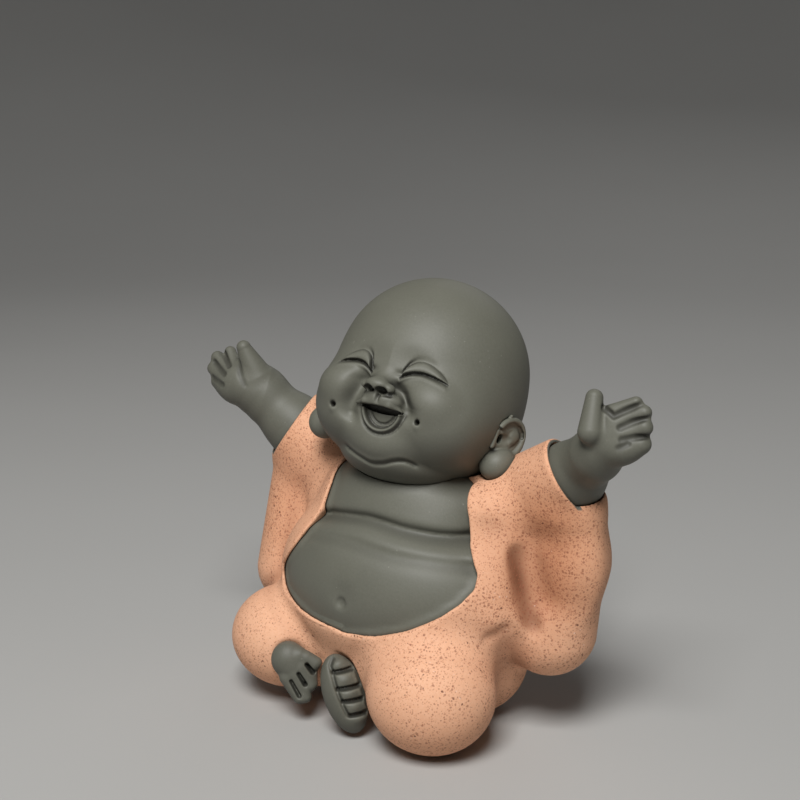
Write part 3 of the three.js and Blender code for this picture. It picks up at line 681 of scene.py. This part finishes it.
def cloth_outside(figure):
    p = folded(figure)
    d = belly_mass(p) - 1.25
    d = join(d, ball(p, (0, 8.0, 24.0), (25.5, 15.5, 22.5)), 6)
    d = join(d, rod(p, (8, 9.0, 28.0), (28, 8.6, 44.5), 8.4, 7.4), 5)
    d = join(d, rod(p, (18, 9.4, 41.0), (33.5, 6.7, 51.0), 8.4, 7.15), 1.5)
    d = join(d, rod(p, (27.0, 8.0, 44.0), (33.6, 6.6, 50.9), 7.6, 7.15), 0.6)
    d = join(d, drapes(figure), 3)
    d = join(d, ball(p, (0, 7.0, 9.0), (22, 14, 12)), 5)
    d = join(d, ball(figure, (15.8, -11.4, 11.0), (12.0, 11.4, 11.0)), 5)
    d = join(d, ball(figure, (-20.9, -8.3, 12.1), (11.8, 11.2, 10.0)), 3.5)
    d = join(d, ball(p, (0, -3.0, 10.4), (20, 11, 9.1)), 5)
    d = join(d, rod(figure, (19.5, 2.0, 42.0), (25.5, 1.5, 26.0), 4.6), 5)
    d = d + press(chain(figure, [(31.0, 1.4, 37.0), (30.6, 1.0, 29.0)]), 4.6, 2.0)
    d = d - press(chain(figure, [(38.6, 6.0, 44.0), (38.6, 6.5, 26.0)]), 2.6, 0.6)
    valley = [(24.9, 0.1, 40.0), (25.5, 0.0, 37.5), (26.3, -0.1, 35.0), (27.3, -0.3, 31.5),
              (28.3, -0.4, 28.2), (29.1, 0.0, 24.9), (30.3, 0.9, 21.0)]
    fade = ease((39.0 - figure[:, 2]) / 5) * ease((figure[:, 2] - 20.0) / 7)
    d = d + fade * press(chain(figure, valley), 1.6, 1.9)
    d = d + fade * press(chain(figure, [(28.1, 1.2, 37.5), (30.3, 0.9, 28.2)]), 2.0, 0.8)
    bulge = [(21.6, -2.2, 38.0), (24.2, -4.4, 29.0), (25.0, -4.6, 25.0)]
    d = d - fade * press(chain(figure, bulge), 2.6, 0.7)
    d = d + press(chain(figure, [(21.5, -4.0, 41.5), (23.5, -3.0, 41.0)]), 1.6, 0.4)
    return d + press(chain(figure, [(23.3, -5.8, 21.5), (24.8, -4.6, 22.4), (26.2, -3.8, 23.6)]), 1.2, 0.28)


def mouth_cuts(figure):
    cuts = np.maximum(-np.maximum(opening_side(figure), figure[:, 1] - 3.0), -figure[:, 2])
    return np.maximum(cuts, np.minimum(mouths(figure), drapes(figure) - 1.0))


def mouths(figure):
    """How far points lie beyond the end of the sleeve that is near them."""
    past = np.full(len(figure), -9.0)
    for side, facing in sleeve_facing.items():
        mouth = (figure - sleeve_end * np.array([side, 1, 1])) @ np.array(facing)
        around = rod(figure, (side * 22, 9.0, 38.7), (side * 42, 4.9, 59.8), 9.5)
        past = np.maximum(past, np.minimum(mouth, -around))
    return past


def cloth_cuts(figure):
    cuts = mouth_cuts(figure)
    cuts = np.maximum(cuts, 0.12 - torso_shape(figure))
    for side, shape in ((1, left_foot_shape), (-1, right_foot_shape)):
        near = (figure[:, 1] < -8) & (figure[:, 2] < 20)
        cuts[near] = np.maximum(cuts[near], 0.1 - shape(figure[near]))
        near = figure[:, 0] * side > 22
        cuts[near] = np.maximum(cuts[near], 0.2 - arm_shape(side)(figure[near]))
    near = figure[:, 2] > 40
    skull = (figure[near] - head_centre) @ head_axes
    cuts[near] = np.maximum(cuts[near], 0.15 - skull_shape(skull))
    for side in (1, -1):
        lobe = ball(skull * np.array([side, 1, 1]), (18.1, -2.2, -11.6), (3.2, 3.3, 3.25))
        cuts[near] = np.maximum(cuts[near], 0.15 - lobe)
    return cuts


def cloth_shape(figure):
    return carve(cloth_outside(figure), -cloth_cuts(figure), 0.8)


robe = modelled("robe_clay", cloth_shape, (-43, -26, -1), (43, 29, 60), 0.33)
where = points_of(robe)
height = where[:, 2]
# Painted shade along the deep fold beside the left sleeve, fading out at both ends, added to the painted
# shade in the robe's creases; nothing is painted under lumps here.
fold_line = [(25.0, 0.3, 38.0), (26.6, 0.0, 32.0), (28.0, 0.0, 28.0), (28.9, 0.3, 24.0)]
fold_painted_shade = press(chain(where, fold_line), 1.5, 0.3)
fold_painted_shade = fold_painted_shade * ease((38.5 - height) / 7) * ease((height - 24.0) / 6)
mark_painted_shade(robe, cloth_outside, 2.0, under=0.0, least=fold_painted_shade)
# A darker, browner orange on both sleeves, a little darker above 22 mm and more towards the bottom; the
# specks are denser there too.
sleeve = press(chain(where, [(32.0, 1.0, 43.0), (32.5, 0.5, 30.0)]), 7.5, 0.75)
sleeve = sleeve + press(chain(where, [(-31.0, 1.0, 46.0), (-31.0, 1.0, 30.0)]), 8.0, 0.3)
mark(robe, "darker_tone", sleeve + 0.15 * ease((height - 22) / 8) + 0.25 * ease((15 - height) / 10))

orange_clay = Finish("orange_clay")
cloud = orange_clay.noise(80, 3)
fine = orange_clay.noise(3000, 2)
patches = orange_clay.noise(130, 3, 0.6)
place = orange_clay.add("ShaderNodeTexCoord", output="Object")
shake = orange_clay.noise(2400, 1, output=1)
shaken = orange_clay.add("ShaderNodeVectorMath", {"operation": "MULTIPLY_ADD"},
                         {0: shake, 1: (0.0003, 0.0003, 0.0003), 2: place})
darker_tone = orange_clay.add("ShaderNodeAttribute", {"attribute_name": "darker_tone"}, output="Fac")


def specks(scale, share, size, soft, more=0.0):
    """Round grains in some cells of a lattice: how many of the cells hold one, and how big it is."""
    cells = {"Vector": shaken, "Scale": scale, "Randomness": 1.0}
    away = orange_clay.add("ShaderNodeTexVoronoi", {}, cells, 0)
    tint = orange_clay.add("ShaderNodeTexVoronoi", {}, cells, 1)
    pick = orange_clay.add("ShaderNodeSeparateColor", {}, {0: tint}, 0)
    width = ((pick - 1 + share + patches * 0.7 - 0.4 + darker_tone * more) * (1 / share)).clamped() * size
    return ((width - away) * soft).clamped()


orange_colour = orange_clay.mix(cloud, (0.68, 0.325, 0.18, 1), (0.78, 0.42, 0.25, 1))
orange_colour = orange_clay.mix((fine - 0.5) * 0.8 + 0.3, orange_colour, (0.86, 0.54, 0.37, 1))
# darker, browner orange on the sleeves and towards the top and the bottom
orange_colour = orange_clay.mix(darker_tone * 0.75, orange_colour, (0.52, 0.205, 0.09, 1))
# Painted shade: the orange turns dark red-brown in the robe's creases and along the deep fold by the left
# sleeve.
painted_shade = orange_clay.add("ShaderNodeAttribute", {"attribute_name": "painted_shade"}, output="Fac")
orange_colour = orange_clay.mix((painted_shade * 1.3).clamped(), orange_colour, (0.17, 0.062, 0.028, 1))
for grains, colour in ((specks(3000, 0.95, 0.6, 8, 0.3) * 0.5, (0.34, 0.12, 0.065, 1)),
                       (specks(1900, 0.62, 0.5, 9, 0.3) * 0.6, (0.24, 0.08, 0.042, 1)),
                       (specks(1100, 0.26, 0.3, 12) * 0.85, (0.13, 0.045, 0.027, 1)),
                       (specks(1500, 0.16, 0.26, 9) * 0.3, (0.86, 0.76, 0.68, 1))):
    orange_colour = orange_clay.mix(grains, orange_colour, colour)
sleeve_radius = 0.0078
sleeve_axis = np.array([0.679, -0.139, 0.720])
rim_colour = (0.11, 0.108, 0.088, 1)
rim_behind = 0.00022
rim_ahead = 0.0005
rim_edge = 9000


def dot(a, vector):
    return orange_clay.add("ShaderNodeVectorMath", {"operation": "DOT_PRODUCT"}, {0: a, 1: vector}, 1)


for side, facing in sleeve_facing.items():
    centre = tuple((middle - sleeve_end * np.array([side, 1, 1])) / 1000)
    off = orange_clay.add("ShaderNodeVectorMath", {"operation": "ADD"}, {0: place, 1: centre})
    along = dot(off, tuple(sleeve_axis * np.array([side, 1, 1])))
    radial = dot(off, off) - along * along
    depth = dot(off, facing)
    rim = ((depth + rim_behind) * rim_edge).clamped() * ((rim_ahead - depth) * rim_edge).clamped()
    rim = rim * ((sleeve_radius ** 2 - radial) * 200000).clamped()
    orange_colour = orange_clay.mix(rim, orange_colour, rim_colour)
relief = orange_clay.add("ShaderNodeBump", {},
                         {"Strength": 0.4, "Distance": 0.00008, "Height": patches + fine})
orange_clay.surface(Base_Color=orange_colour, Roughness=(cloud * 0.1 + 0.66), Normal=relief)
orange_clay.shader.inputs["Specular IOR Level"].default_value = 0.3
dress(robe, orange_clay, "orange_clay", "robe")


# The table under the figure: one pale plain sheet, flat under it and rising far away all round.
bpy.ops.object.select_all(action="DESELECT")
bpy.ops.mesh.primitive_grid_add(x_subdivisions=120, y_subdivisions=120, size=6.0, location=(0, 0, 0))
floor = bpy.context.object
floor.name = "table"
flat_radius = 0.6
rise_width = 2.4
rise_height = 1.6
spots = np.empty(len(floor.data.vertices) * 3)
floor.data.vertices.foreach_get("co", spots)
spots = spots.reshape(-1, 3)
outside = np.hypot(spots[:, 0], spots[:, 1]) - flat_radius
spots[:, 2] = rise_height * ease(outside / rise_width) ** 1.2
floor.data.vertices.foreach_set("co", spots.ravel())
floor.data.update()
only(floor)
bpy.ops.object.shade_smooth()
pale = Finish("pale_table")
tone = pale.noise(6, 2)
pale.surface(Base_Color=pale.mix(tone, (0.40, 0.395, 0.38, 1), (0.43, 0.425, 0.41, 1)), Roughness=0.8)
floor.data.materials.append(pale.material)


# Light: a soft key lamp high in front of the figure and weaker ones round it.
lamp_aim = Vector((0, 0, 0.04))


def lamp(name, place, size, power):
    data = bpy.data.lights.new(name, "AREA")
    data.shape = "SQUARE"
    data.size = size
    data.energy = power
    made = bpy.data.objects.new(name, data)
    bpy.context.scene.collection.objects.link(made)
    made.location = place
    made.rotation_euler = (lamp_aim - Vector(place)).to_track_quat("-Z", "Y").to_euler()


lamp("key", (0.22, -0.45, 0.69), 0.34, 8.1)
lamp("fill", (-0.55, -0.60, 0.40), 0.6, 0.15)
lamp("rim", (-0.2, 0.75, 0.55), 0.5, 0.6)
world = bpy.data.worlds.new("room")
bpy.context.scene.world = world
world.use_nodes = True
world.node_tree.nodes["Background"].inputs[0].default_value = (1.0, 0.99, 0.97, 1)
world.node_tree.nodes["Background"].inputs[1].default_value = 0.05
bpy.context.scene.view_settings.view_transform = "Standard"

# Camera: where the photograph was taken from, a little above the figure and to its left.
lens = bpy.data.cameras.new("view")
lens.lens = 63
lens.sensor_width = 36
camera = bpy.data.objects.new("view", lens)
bpy.context.scene.collection.objects.link(camera)
yaw = math.radians(38.0)
pitch = math.atan(310 / 1400)
away = 0.2525
side_shift = -0.0001
eye_height = 0.1165
camera.location = (away * math.sin(yaw) + side_shift * math.cos(yaw),
                   -away * math.cos(yaw) + side_shift * math.sin(yaw) - middle[1] / 1000, eye_height)
camera.rotation_euler = (math.radians(90) - pitch, 0, yaw)
bpy.context.scene.camera = camera
